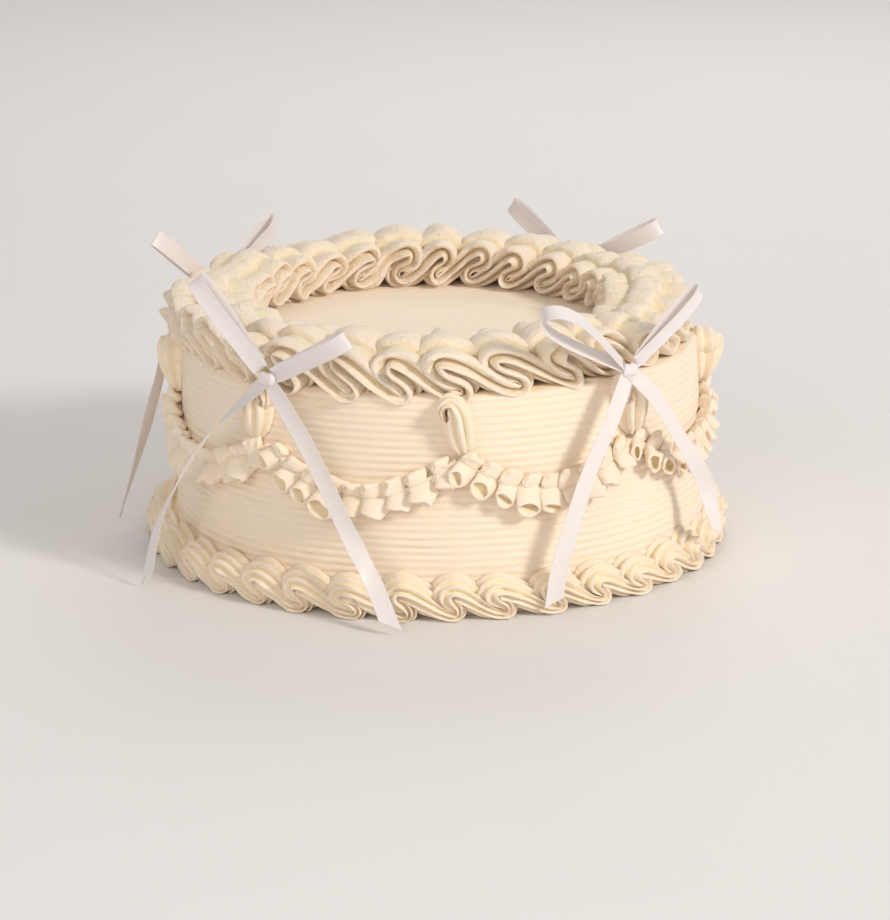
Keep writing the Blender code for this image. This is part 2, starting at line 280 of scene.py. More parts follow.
class Paint:
    """A material under construction."""

    def __init__(self, name):
        self.material = bpy.data.materials.new(name)
        self.material.use_nodes = True
        self.tree = self.material.node_tree
        self.shader = self.tree.nodes["Principled BSDF"]

    def node(self, kind, settings, inputs, output=0):
        """Adds a node: its settings first, then the values or links of its sockets."""
        node = self.tree.nodes.new(kind)
        for label, setting in settings.items():
            setattr(node, label, setting)
        for label, value in inputs.items():
            self.feed(node.inputs[label], value)
        return Value(self, node.outputs[output])

    def feed(self, socket, value):
        """Links or sets one socket."""
        if isinstance(value, Value):
            self.tree.links.new(value.socket, socket)
        elif socket.type == "RGBA":
            socket.default_value = (*value, 1.0)
        else:
            socket.default_value = value

    def shade(self, **inputs):
        """Sets the Principled shader's sockets; underscores stand for spaces."""
        for label, value in inputs.items():
            self.feed(self.shader.inputs[label.replace("_", " ")], value)

    def place(self):
        """Object coordinates."""
        return self.node("ShaderNodeTexCoord", {}, {}, "Object")

    def value(self, name):
        """A number stored on the mesh."""
        return self.node("ShaderNodeAttribute", {"attribute_name": name}, {}, "Fac")

    def noise(self, place, scale, detail, roughness=0.5):
        """Noise around one half."""
        return self.node("ShaderNodeTexNoise", {}, {
            "Vector": place, "Scale": scale, "Detail": detail, "Roughness": roughness})

    def mix(self, share, first, second):
        """Colour between two."""
        return self.node("ShaderNodeMix", {"data_type": "RGBA"}, {
            0: share, 6: first, 7: second}, 2)

    def bump(self, height, strength, distance):
        """Normal tilted by a height."""
        return self.node("ShaderNodeBump", {}, {
            "Height": height, "Strength": strength, "Distance": distance}, "Normal")


def colours():
    """The scene's colour settings."""
    return bpy.context.scene.cake_colours


def sizes():
    """The scene's size settings."""
    return bpy.context.scene.cake_sizes


# Buttercream: texture scales of its mottling, grain and pores, how strongly the creases take on a
# painted warm glow that stands in for light scattered in them, and how much the mottling warms its
# colour at random
MOTTLE_SCALE = 70.0
GRAIN_SCALE = 620.0
PORE_SCALE = 330.0
CREASE_SHARE = 0.85
MOTTLE_SHARE = 0.35
BUTTERCREAM_ROUGHNESS = 0.56


def buttercream(name, pores):
    """Whipped buttercream: ivory, with a painted warm glow in the creases for the light scattered
    there, and soft light inside.

    Its grain and pores are as deep as pores says, in millimetres.
    """
    paint = Paint(name)
    spot = paint.place()
    crease_glow = paint.value("crease_glow")
    mottle = paint.noise(spot, MOTTLE_SCALE, 2.0)
    # The share of the painted crease glow, a warmer and yellower colour that stands in for light
    # scattered deep in the folds, plus mottling that shifts the tone at random
    share = (crease_glow * CREASE_SHARE + (mottle - 0.5) * MOTTLE_SHARE).clamp()
    colour = paint.mix(share, tuple(colours().cream), tuple(colours().crease_glow))
    grain = paint.noise(spot, GRAIN_SCALE, 4.0, 0.65)
    holes = paint.node("ShaderNodeTexVoronoi", {"feature": "F1"}, {
        "Vector": spot, "Scale": PORE_SCALE})
    pits = (holes * 4.5).clamp()
    tilt = paint.bump(grain + pits * 0.5, 1.0, pores * MM)
    rough = (mottle - 0.5) * 0.2 + BUTTERCREAM_ROUGHNESS
    paint.shade(Base_Color=colour, Roughness=rough, Normal=tilt, Subsurface_Weight=0.5,
                Subsurface_Radius=(1.0, 0.85, 0.70), Subsurface_Scale=0.0005, IOR=1.42,
                Specular_IOR_Level=0.32)
    return paint.material


# Satin: radians per metre of its slanted weave along and across the strap, of its rows and of
# the picots on its edge, and the share of the half width where the corded edge starts
WEAVE_ALONG, WEAVE_ACROSS = 16000.0, 2400.0
ROWS_ACROSS = 9000.0
PICOTS_ALONG = 9500.0
EDGE_START = 0.86
SATIN_RELIEF = 0.00006
SATIN_ROUGHNESS = 0.42


def satin(name):
    """Satin ribbon: smooth floats along the strap, corded edges and a soft sheen."""
    paint = Paint(name)
    along = paint.value("along")
    across = paint.value("across")
    spot = paint.place()
    weave = (along * WEAVE_ALONG + across * WEAVE_ACROSS).math("SINE")
    rows = (across * ROWS_ACROSS).math("SINE")
    edge = across.math("ABSOLUTE") * (2.0 / sizes().ribbon_width)
    selvedge = ((edge - EDGE_START) * 12.0).clamp()
    cloud = paint.noise(spot, 160.0, 3.0)
    colour = paint.mix((cloud * 0.5 + selvedge * 0.35).clamp(), tuple(colours().ribbon),
                       tuple(colours().ribbon_shade))
    picots = (along * PICOTS_ALONG).math("SINE")
    height = weave * 0.12 + rows * 0.10 + selvedge * (picots * 0.9 + 1.2)
    tilt = paint.bump(height, 0.30, SATIN_RELIEF)
    rough = selvedge * 0.16 + SATIN_ROUGHNESS + (cloud - 0.5) * 0.08
    paint.shade(Base_Color=colour, Roughness=rough, Normal=tilt, Sheen_Weight=0.35,
                Sheen_Roughness=0.4, Subsurface_Weight=0.25, Subsurface_Radius=(1.0, 0.9, 0.85),
                Subsurface_Scale=0.0012, Anisotropic=0.4)
    return paint.material


def hand_draws():
    """The piper's unevenness, drawn in the order in which the solids were drawn."""
    draw = random.Random(HAND_SEED)
    made = {}
    for name, count in (("top", TOP_SHELLS), ("base", BASE_SHELLS)):
        steps = [1.0 + draw.uniform(-0.10, 0.10) for _ in range(count)]
        made[name + "_shares"] = np.array(steps) / sum(steps)
        made[name + "_sizes"] = np.array([1.0 + draw.uniform(-0.06, 0.06) for _ in range(count)])
    made["drop_sizes"] = [1.0 + draw.uniform(-0.06, 0.06) for _ in DROP_ANGLES]
    made["swag_lows"] = [draw.uniform(-0.0015, 0.0015) for _ in DROP_ANGLES]
    return made


def round_shells(numbers, shells):
    """Numbers for each shell, blended from the middle of one shell to the middle of the next."""
    count = len(numbers)
    spots = np.arange(-1, count + 1) + 0.5
    numbers = np.take(numbers, np.arange(-1, count + 1) % count)
    return np.interp(np.mod(shells, count), spots, numbers)


def star(turn, shape):
    """Reach of a star nozzle's section: fat fins with narrow grooves, a fin at the top.

    With s the share of a half turn from the top, there are fins / 2 * s ^ spacing fins up to
    there, and reach = 1 - groove * (1 - |cos(pi * that)| ^ sharpness).
    """
    share = np.abs(np.mod(turn - 0.5 * math.pi + math.pi, TAU) - math.pi) / math.pi
    passed = 0.5 * shape["fins"] * share ** shape["spacing"]
    return 1.0 - shape["groove"] * (1.0 - np.abs(np.cos(math.pi * passed)) ** shape["sharpness"])


def line_frame(along, up, closed=None):
    """Unit normals to the left of a flat line and its curvature, positive on a left bend.

    A closed line repeats after its first point moved along by the given length.
    """
    if closed is None:
        slope_a, slope_z = np.gradient(along), np.gradient(up)
        heading = np.unwrap(np.arctan2(slope_z, slope_a))
        length = np.hypot(slope_a, slope_z)
        curve = np.gradient(heading) / length
    else:
        step_a = np.diff(np.append(along, along[0] + closed))
        step_z = np.diff(np.append(up, up[0]))
        slope_a = 0.5 * (step_a + np.roll(step_a, 1))
        slope_z = 0.5 * (step_z + np.roll(step_z, 1))
        length = np.hypot(slope_a, slope_z)
        heading = np.arctan2(step_z, step_a)
        bend = np.mod(heading - np.roll(heading, 1) + math.pi, TAU) - math.pi
        curve = bend / length
        curve = (np.roll(curve, 1) + 2.0 * curve + np.roll(curve, -1)) / 4.0
    return -slope_z / length, slope_a / length, curve


def tucked(offset, curve):
    """Share of an offset that is left on the inside of a bend: (1 - exp(-k n)) / (k n)."""
    tight = np.maximum(curve * offset, 1e-6)
    return np.where(tight > 1e-6, -np.expm1(-tight) / tight, 1.0)


# Where a ring hangs over the rim: it droops least by a share, and most where it is shifted
# outwards by an amount, give or take a spread
HANG_LEAST = 0.30
HANG_SHIFT = 0.0008
HANG_SPREAD = 0.0022
RIM_SOFTENING = 0.0020
ROPE_GRAIN_SIZE = 0.0026
ROPE_LUMP_SIZE = 0.012
SWING_JITTER = 0.20
# Where less than this share of an offset is left inside a bend, the painted crease glow is laid on
# as well
PINCH_TO_CREASE = 0.60


def wave_rope(name, shares, shell_sizes, heights, shape, seed):
    """A continuous piped rope of breaking waves round the cake.

    The middle line runs clockwise as a meander in the plane of travel and height:
    travel = pitch * t - swing * cos(2 pi t), and height = middle - rise * (cos(2 pi t) +
    loops * sin(4 pi t)), where loops rounds the line's turns at the crest and at the foot of
    each wave. A star section is carried along it, its offset along the line's normal squashed
    in height. On the inside of a bend of curvature k an offset n becomes (1 - exp(-k n)) / k,
    which never passes the bend's centre. The ring as a whole sits a little to the left, by
    shift, and where it hangs over the rim its outer side droops.
    """
    count = len(shares)
    per_shell, around = shape["per_shell"], shape["around"]
    shells = np.arange(count * per_shell) / per_shell
    phase = TAU * shells
    starts = np.concatenate(((0.0,), np.cumsum(shares)))
    turn = np.interp(shells, np.arange(count + 1), starts) * TAU
    draw = np.random.default_rng(seed)
    vary = [round_shells(draw.uniform(-1.0, 1.0, count), shells) for _ in range(3)]
    size = round_shells(shell_sizes, shells)
    tall = round_shells(heights, shells)
    pitch = round_shells(shares, shells) * TAU * shape["radius"]
    swing = shape["swing"] * pitch * (1.0 + SWING_JITTER * vary[0])
    travel = -swing * np.cos(phase)
    wave = np.cos(phase) + shape["loops"] * np.sin(2.0 * phase)
    height = (shape["middle"] - shape["rise"] * wave) * tall * (1.0 + shape["jitter"] * vary[1])
    along = turn * shape["radius"] + travel
    squash = shape["squash"]
    normal_a, normal_z, curve = line_frame(along, height / squash, TAU * shape["radius"])
    angle = full_turn(around)
    fins = star(angle, shape)
    swell = shape["tail"] + (1.0 - shape["tail"]) * np.sin(math.pi * shells) ** 2
    deep = shape["deep"] * (size * swell * tall)[:, None] * fins * np.sin(angle)
    pinch = tucked(deep, curve[:, None])
    deep = deep * pinch
    slim = 1.0 - shape["slim"] * (1.0 - np.sin(math.pi * shells) ** 2)
    wide = shape["wide"] * (size * slim)[:, None] * fins * np.cos(angle)
    low = held(-np.sin(angle) + 0.2) * held(np.cos(phase))[:, None]
    wide = wide * (1.0 + shape["feet"] * low * (2.0 * (fins - 1.0) / shape["groove"] + 1.4))
    move = along[:, None] + deep * normal_a[:, None]
    up = height[:, None] + squash * deep * normal_z[:, None]
    shift = -shape["shift"] * np.sin(-along / shape["radius"])
    trough = 0.5 + 0.5 * np.cos(phase)[:, None]
    hang = np.exp(-((shift - HANG_SHIFT) / HANG_SPREAD) ** 2)[:, None]
    hang = HANG_LEAST + (1.0 - HANG_LEAST) * hang
    up = up - shape["droop"] * hang * held(np.cos(angle)) ** 2 * (0.25 + 0.75 * trough)
    radius = shape["radius"] + (shape["drift"] * vary[2] + shift)[:, None] + wide
    smooth = round_axis(-move / shape["radius"], radius, up + shape["floor"])
    middle = round_axis(-along / shape["radius"], shape["radius"] + shift, height + shape["floor"])
    middle = middle[:, None]
    away = smooth - middle
    reach = np.maximum(np.linalg.norm(away, axis=-1, keepdims=True), 1e-5)
    crown = held(np.sin(angle))[None, :, None] ** 4
    grain = (shape["grain"] + shape["torn"] * crown)
    grain = grain * lumps(smooth, ROPE_GRAIN_SIZE, seed + 2)[..., None]
    swollen = away * shape["uneven"] * lumps(smooth, ROPE_LUMP_SIZE, seed + 1)[..., None]
    points = smooth + swollen + away / reach * grain
    beyond = np.hypot(points[..., 0], points[..., 1]) - shape["rim"]
    beyond = held(beyond / RIM_SOFTENING)
    floor = shape["floor"] - shape["overhang"] * beyond
    points[..., 2] = np.maximum(points[..., 2], floor)
    # Painted glow: the warm crease colour goes into the star's grooves and onto the tucked insides
    # of tight bends, where it stands in for scattered light
    crease_glow = held((1.0 - fins) / shape["groove"]) ** 1.3
    crease_glow = held(crease_glow + 0.9 * held(PINCH_TO_CREASE - pinch))
    return tube_mesh(name, points, True, {"crease_glow": crease_glow})


# The two ropes: points for each shell and round a section; the middle line's radius, the height
# of its floor, its swing as a share of a shell, its loops, its mean height and its rise; the
# section's squash, depth, half width and fins, with their groove, spacing and sharpness; the
# share of its depth that is left at a shell's tail and how much it slims there; the hand's
# unevenness; then how far the feet spread, the ring's shift to the left, how far it droops
# over the rim and hangs below it, and the rim's radius
TOP_ROPE = {
    "per_shell": 56, "around": 60, "radius": 0.0870, "floor": CAKE_HEIGHT - 0.0002,
    "swing": 0.45, "loops": 0.30, "middle": 0.0090, "rise": 0.0052,
    "squash": 0.8, "deep": 0.0084, "wide": 0.0195, "fins": 8, "groove": 0.50,
    "spacing": 1.2, "sharpness": 0.75, "tail": 0.70, "slim": 0.12, "drift": 0.0014,
    "uneven": 0.09, "grain": 0.00010, "torn": 0.00030, "jitter": 0.10, "feet": 0.0,
    "shift": 0.0038, "droop": 0.0050, "overhang": 0.0028, "rim": 0.1010,
}

BASE_ROPE = {
    "per_shell": 36, "around": 60, "radius": 0.1083, "floor": 0.0003,
    "swing": 0.34, "loops": 0.15, "middle": 0.0058, "rise": 0.0040,
    "squash": 0.9, "deep": 0.0078, "wide": 0.0098, "fins": 12, "groove": 0.42,
    "spacing": 1.0, "sharpness": 1.3, "tail": 0.46, "slim": 0.26, "drift": 0.0006,
    "uneven": 0.06, "grain": 0.00006, "torn": 0.00008, "jitter": 0.08, "feet": 0.35,
    "shift": 0.0015, "droop": 0.0, "overhang": 0.0, "rim": 1.0,
}

# The marks on the rim: where they run and how far apart, in degrees, their half length and
# lean from a least to a most, their half width, how far they sit below the rim and how deep
MARKS_START, MARKS_END, MARKS_STEP = -66.0, -43.0, 1.10
MARK_HALF_LENGTH = (0.0012, 0.0019)
MARK_LEAN = (0.45, 0.65)
MARK_HALF_WIDTH = 0.00070
MARK_DROP = 0.0021
MARK_SINK = 0.0003
MARK_SEED = 24


def rim_marks():
    """Short slanted ridges that the smoothing left along a stretch of the rim.

    Each is a thin spindle: half width = size * sqrt(1 - s^2) for s from end to end.
    """
    meshes = []
    draw = np.random.default_rng(MARK_SEED)
    around, rows = 10, 12
    turn = full_turn(around)
    s = np.linspace(-0.98, 0.98, rows)[:, None]
    for angle in np.radians(np.arange(MARKS_START, MARKS_END, MARKS_STEP)):
        half, lean = draw.uniform(*MARK_HALF_LENGTH), draw.uniform(*MARK_LEAN)
        reach = np.sqrt(1.0 - s ** 2) * MARK_HALF_WIDTH
        up = half * s * math.cos(lean) + reach * np.cos(turn) * math.sin(lean)
        up = CAKE_HEIGHT - MARK_DROP + up
        aside = half * s * math.sin(lean) - reach * np.cos(turn) * math.cos(lean)
        radius = body_radius(up) - MARK_SINK + reach * np.sin(turn)
        points = round_axis(angle + aside / TOP_RADIUS, radius, up)
        # The marks carry a faint painted crease glow
        meshes.append(tube_mesh("mark", points, False, {"crease_glow": 0.2}))
    return meshes


# The side: how full a ridge is, how much its lines wander, its depth varies and the icing is
# uneven, and how far the rim is rounded off and over what height
RIDGE_FULLNESS = 0.42
RIDGE_WANDER = 0.00035
RIDGE_VARIES = 0.35
SIDE_LUMPS = 0.00008
RIM_ROUNDING = 0.0011
RIM_HEIGHT = 0.0016
CAP_SINK = 0.0004
FOOT_LIFT = 0.0002


def make_body():
    """The cake's side, turned: radius = taper - depth * (1 - |sin(pi z / pitch)| ^ fullness).

    Each comb ridge is a full band between narrow grooves, and its height wanders a little.
    """
    around, per_ridge = 288, 6
    ridges = sizes().ridges
    rows = ridges * per_ridge
    height = np.linspace(0.0, CAKE_HEIGHT, rows + 1)[:, None]
    turn = full_turn(around)[None, :]
    spot = round_axis(turn, body_radius(height), height)
    wander = RIDGE_WANDER * lumps(spot, 0.060, 21, 2)
    band = np.abs(np.sin(math.pi * (height + wander) * ridges / CAKE_HEIGHT)) ** RIDGE_FULLNESS
    depth = sizes().ridge_depth * (1.0 + RIDGE_VARIES * lumps(spot, 0.025, 22, 2))
    radius = body_radius(height) - depth * (1.0 - band) + SIDE_LUMPS * lumps(spot, 0.006, 23, 2)
    soften = held((height - CAKE_HEIGHT + RIM_HEIGHT) / RIM_HEIGHT)
    radius = radius - RIM_ROUNDING * soften ** 2
    side = round_axis(turn, radius, height)
    shelf = np.linspace(0.92, 0.0, 6)[1:-1, None]
    cap = round_axis(turn, TOP_RADIUS * shelf, CAKE_HEIGHT - CAP_SINK)
    foot = round_axis(turn, BASE_RADIUS * shelf[::-1], FOOT_LIFT)
    points = np.concatenate((foot, side, cap))
    # Painted glow: the comb's grooves get the warm crease colour, which stands in for light
    # scattered in them
    crease_glow = np.concatenate((np.zeros((len(shelf), around)), (1.0 - band) ** 1.5 * 0.8,
                             np.zeros((len(shelf), around))))
    parts = [tube_mesh("side", points, False, {"crease_glow": crease_glow})]
    return joined("cake_side", parts + rim_marks())


# The top: its radius and thickness, how full a line is, how much it wanders, its depth varies
# and the icing is uneven
TOP_REACH = 0.0950
TOP_THICKNESS = 0.0010
TOP_FULLNESS = 0.7
TOP_WANDER = 0.0005
TOP_VARIES = 0.4
TOP_LUMPS = 0.00004


def make_top():
    """The combed top: a thin disc whose upper face rises and falls along Y.

    Rows run along X at equal Y; height = top - depth * (1 - |sin(pi y / pitch)| ^ fullness).
    """
    columns, per_line = 32, 7
    pitch = sizes().top_comb
    rows = int(2.0 * TOP_REACH / pitch * per_line)
    y = np.linspace(-TOP_REACH, TOP_REACH, rows + 2)[1:-1, None]
    share = np.cos(np.linspace(0.0, math.pi, columns))[None, :]
    half = np.sqrt(TOP_REACH ** 2 - y ** 2)
    x = share * half
    spot = np.stack((x, y + 0 * x, np.zeros_like(x)), axis=-1)
    wander = TOP_WANDER * lumps(spot, 0.050, 31, 2)
    band = np.abs(np.sin(math.pi * (y + wander) / pitch)) ** TOP_FULLNESS
    depth = sizes().top_comb_depth * (1.0 + TOP_VARIES * lumps(spot, 0.02, 32, 2))
    z = CAKE_HEIGHT - depth * (1.0 - band) + TOP_LUMPS * lumps(spot, 0.005, 33, 2)
    upper = np.stack((x, y + 0 * x, z), axis=-1)
    under = np.full_like(x, CAKE_HEIGHT - TOP_THICKNESS)
    lower = np.stack((x, y + 0 * x, under), axis=-1)[:, ::-1]
    points = np.concatenate((upper, lower), axis=1)
    # Painted glow: the lines' grooves get some of the warm crease colour, which stands in for light
    # scattered in them
    crease_glow = np.concatenate((0.3 * (1.0 - band) ** 2 + 0 * x, np.zeros_like(x)), axis=1)
    return tube_mesh("cake_top", points, False, {"crease_glow": crease_glow})


def smooth_line(points, count):
    """Even samples of a smooth curve through a few points (Catmull-Rom)."""
    points = np.array(points, float)
    padded = np.vstack((2.0 * points[0] - points[1], points, 2.0 * points[-1] - points[-2]))
    sample = np.linspace(0.0, len(points) - 1.0, count)
    index = np.minimum(sample.astype(int), len(points) - 2)
    t = (sample - index)[:, None]
    before, start, end, after = (padded[index + step] for step in range(4))
    return 0.5 * (2.0 * start + (end - before) * t
                  + (2.0 * before - 5.0 * start + 4.0 * end - after) * t ** 2
                  + (3.0 * start - before - 3.0 * end + after) * t ** 3)


# A drop's hooked line on the side, seen from outside: across, height, then the section's
# half width across the line and its depth away from the cake, in millimetres
DROP_LINE = (
    (-2.4, 75.2, 0.6, 4.0),
    (-4.0, 77.0, 1.3, 7.0),
    (-4.9, 79.8, 1.8, 9.0),
    (-4.0, 82.3, 2.6, 10.4),
    (-1.4, 82.6, 4.0, 11.0),
    (0.7, 79.0, 5.5, 10.8),
    (1.4, 74.0, 6.2, 9.8),
    (2.3, 69.0, 5.7, 7.8),
    (3.4, 64.8, 4.4, 5.2),
    (4.0, 62.2, 2.2, 2.8),
)

# The drop that is hooked over the other way, and how far to the right it sits
MIRRORED_DROP = 1
MIRRORED_DROP_SHIFT = -0.0022
DROP_FLUTES = {"fins": 8, "spacing": 1.0, "groove": 0.42, "sharpness": 0.8}
# A drop's crown is rounded off above one height, over another
CROWN_START = 0.0780
CROWN_HEIGHT = 0.0098
DROP_LUMPS = 0.00010


def make_drop(number, angle, size):
    """A fluted shell hooked over at the top: a star section carried along a hooked line."""
    rows, around = 84, 60
    line = smooth_line(DROP_LINE, rows) * MM
    across, height, half, depth = line.T
    if number == MIRRORED_DROP:
        across = MIRRORED_DROP_SHIFT - across
    normal_x, normal_z, curve = line_frame(across, height)
    turn = full_turn(around)
    reach = star(turn, DROP_FLUTES)
    side = size * half[:, None] * reach * np.cos(turn)
    pinch = tucked(side, curve[:, None])
    side = side * pinch
    out = size * depth[:, None] * reach * np.sin(turn)
    x = across[:, None] + side * normal_x[:, None]
    z = height[:, None] + side * normal_z[:, None]
    out = 0.1 * depth[:, None] + np.maximum(0.9 * out, -0.3 * depth[:, None])
    crown = np.clip((z - CROWN_START) / CROWN_HEIGHT, 0.0, 0.97)
    radius = body_radius(z) + out * np.sqrt(1.0 - crown ** 2)
    points = round_axis(math.radians(angle) + x / TOP_RADIUS, radius, z)
    points = points + DROP_LUMPS * lumps(points, 0.004, 40 + number)[..., None]
    # Painted glow: the flutes' grooves and the tucked inside of the hook get the warm crease
    # colour, which stands in for light scattered there
    crease_glow = held((1.0 - reach) / DROP_FLUTES["groove"]) ** 1.3
    crease_glow = held(crease_glow + 1.2 * held(0.75 - pinch))
    return tube_mesh("drop", points, False, {"crease_glow": crease_glow})


def swag_line(start, end, low, share):
    """Points and directions on a swag's middle line: a parabola hung on the cake's side.

    Returns the point on the side, then unit vectors: clockwise along the line, up across
    it, and away from the cake.
    """
    first = math.radians(start + SWAG_OFFSET_ANGLE + SWAG_END_ANGLE)
    last = math.radians(end + SWAG_OFFSET_ANGLE - SWAG_END_ANGLE)
    sag = SWAG_LOW_HEIGHT + low
    turn = last + (first - last) * share
    height = sag + (SWAG_END_HEIGHT - sag) * (2.0 * share - 1.0) ** 2
    spot = round_axis(turn, body_radius(height), height)
    rise = 4.0 * (SWAG_END_HEIGHT - sag) * (2.0 * share - 1.0)
    lean = np.arctan2(rise, (last - first) * body_radius(height))[..., None]
    out = round_axis(turn, 1.0, 0.0)
    flat = round_axis(turn - 0.5 * math.pi, 1.0, 0.0)
    upward = np.broadcast_to((0.0, 0.0, 1.0), flat.shape)
    along = flat * np.cos(lean) + upward * np.sin(lean)
    across = upward * np.cos(lean) - flat * np.sin(lean)
    return spot, along, across, out


def petal(root, axis, width, length, across, through, hollow, slant, wall):
    """A ruffle's fold: a tube from a wide flat root to an open, slantwise cut end.

    Both half sizes go from the root's to the end's as s ^ 1.2 along the tube. Inside the lip
    the surface turns back and closes again at the hollow's bottom. A thick wall leaves only
    a slit open.
    """
    around, up_rows, down_rows = 26, 12, 6
    s = np.concatenate((np.linspace(-0.16, 0.97, up_rows), (1.0, 1.02, 1.0),
                        np.linspace(1.0 - 0.2 * hollow, 1.0 - hollow, down_rows)))
    grown = held(s) ** 1.2
    less = wall * np.concatenate((np.zeros(up_rows), (0.06, 0.5, 0.94), np.ones(down_rows)))
    shut = np.ones(len(s))
    shut[:2] = 0.45, 0.85
    shut[-1] = 0.4
    half = ((between(across, grown) - less) * shut)[:, None]
    deep = ((between(through, grown) - less) * shut)[:, None]
    turn = full_turn(around)
    cut = 1.0 - slant * np.sin(turn) + 0.06 * np.cos(turn)
    place = length * s[:, None] * np.where(s[:, None] > 0.0, cut, 1.0)
    points = (root + place[..., None] * axis + (half * np.cos(turn))[..., None] * width
              + (deep * np.sin(turn))[..., None] * np.cross(width, axis))
    # Painted glow: the warm crease colour is laid at the fold's root and most strongly deep in its
    # hollow, where it stands in for light scattered inside
    crease_glow = np.concatenate((np.linspace(0.7, 0.0, up_rows) ** 2, np.zeros(3),
                             np.linspace(0.3, 1.0, down_rows)))
    return points, np.tile(crease_glow[:, None], (1, around))


# A swag's folds, row by row: degrees that a fold leans clockwise, from the swag's middle to its
# ends, and flares outwards; its length; how hollow it is, the slant of its cut end and its wall,
# from the first folds to the last; its half sizes at the root and at the mouth, across and
# through, where the mouth's is again from the first folds to the last; its place in a step
UPPER_FOLD = {"lean": (42.0, 42.0), "flare": 34.0, "length": 0.0066, "hollow": (0.0, 0.0),
              "slant": (0.05, 0.05), "wall": (0.0013, 0.0013), "across": (0.0062, 0.0022),
              "root": 0.0026, "mouth": (0.0014, 0.0014), "place": 0.56}
LOWER_FOLD = {"lean": (24.0, 42.0), "flare": 42.0, "length": 0.0084, "hollow": (0.25, 0.50),
              "slant": (-0.05, 0.21), "wall": (0.0016, 0.0009), "across": (0.0062, 0.0043),
              "root": 0.0026, "mouth": (0.0019, 0.0024), "place": 0.50}
END_FOLD_SIZE = 0.88
FOLD_ROOT_UP = 0.0006
FOLD_ROOT_OUT = 0.0012
FOLD_LUMPS = 0.0004
# The band between the rows: its half width and height, the steps along it and its groove
BAND_HALF_WIDTH = 0.0017
BAND_STEP = 0.0009
BAND_HEIGHT = 0.0034
BAND_GROOVE = 0.0010
BAND_SPINE = 0.0008


def make_swag(number, start, end, low):
    """A ruffle hung between two drops: two rows of folds on both sides of a creased band.

    The folds of the lower row are wide and hollow, those of the upper row small and pointed.
    Each leans clockwise from the square of the line and flares away from the cake.
    """
    lobes = int(round(math.radians(end - start) * BASE_RADIUS / LOBE_PITCH))
    draw = np.random.default_rng(60 + number)
    share = np.linspace(0.0, 1.0, lobes * 14)
    spot, along, across, out = swag_line(start, end, low, share)
    around = 22
    turn = full_turn(around)
    v, thick = np.cos(turn), np.clip(np.sin(turn), -0.15, 1.0)
    step = BAND_STEP * (np.mod(share * lobes, 1.0) - 0.5)
    rise = BAND_HEIGHT * squared(thick, 0.7)
    rise = rise - BAND_GROOVE * np.exp(-(v / 0.25) ** 2)
    rise = rise + BAND_SPINE * np.exp(-(v / 0.08) ** 2) * (thick > 0.0)
    points = (spot[:, None] + (BAND_HALF_WIDTH * v + step[:, None])[..., None] * across[:, None]
              + np.maximum(rise, 0.0)[None, :, None] * out[:, None])
    points = points + 0.0001 * lumps(points, 0.003, 70 + number)[..., None]
    # Painted glow along the band's groove, which stands in for light scattered in it
    groove = np.tile(np.exp(-((np.abs(v) - 0.16) / 0.10) ** 2), (len(share), 1))
    parts = [tube_mesh("band", points, False, {"crease_glow": groove})]
    for fold in (LOWER_FOLD, UPPER_FOLD):
        upper = fold is UPPER_FOLD
        share = (np.arange(lobes) + fold["place"]) / lobes
        spot, along, across, out = swag_line(start, end, low, share)
        for lobe in range(lobes):
            size = 1.0 + draw.uniform(-0.10, 0.12)
            if lobe in (0, lobes - 1):
                size *= END_FOLD_SIZE
            later = float(held(5.0 * share[lobe] - 2.0))
            side = across[lobe] if upper else -across[lobe]
            root = spot[lobe] + FOLD_ROOT_UP * side + FOLD_ROOT_OUT * out[lobe]
            lean = between(fold["lean"], abs(2.0 * share[lobe] - 1.0))
            lean = math.radians(lean + draw.uniform(-8.0, 8.0))
            flare = math.radians(fold["flare"])
            axis = side * math.cos(lean) + along[lobe] * math.sin(lean)
            width = along[lobe] * math.cos(lean) - side * math.sin(lean)
            axis = axis * math.cos(flare) + out[lobe] * math.sin(flare)
            if upper:
                width = -width
            mouth = np.array((size, size * draw.uniform(0.85, 1.15)))
            through = np.array((fold["root"], between(fold["mouth"], later)))
            slant = between(fold["slant"], later) + draw.uniform(-0.06, 0.06)
            points, deep = petal(root, axis, width, fold["length"] * size, mouth * fold["across"],
                                 mouth * through, between(fold["hollow"], later), slant,
                                 between(fold["wall"], later))
            points = points + FOLD_LUMPS * lumps(points, 0.005, 170 + number)[..., None]
            parts.append(tube_mesh("fold", points, False, {"crease_glow": deep}))
    return joined("swag", parts)


def across_strap(centres, across):
    """Unit directions across a strap, square to its line."""
    along = np.gradient(centres, axis=0)
    along /= np.linalg.norm(along, axis=1)[:, None]
    across = across - np.sum(across * along, axis=1)[:, None] * along
    return along, across / np.linalg.norm(across, axis=1)[:, None]


# The saw-edged selvedge: how far its teeth stand in and how far apart they are. A strap is
# slightly cupped, and its cut slants over its last stretch
TEETH_DEPTH = 0.00012
TEETH_PITCH = 0.0008
STRAP_CUP = 0.00035
CUT_STRETCH = 0.006


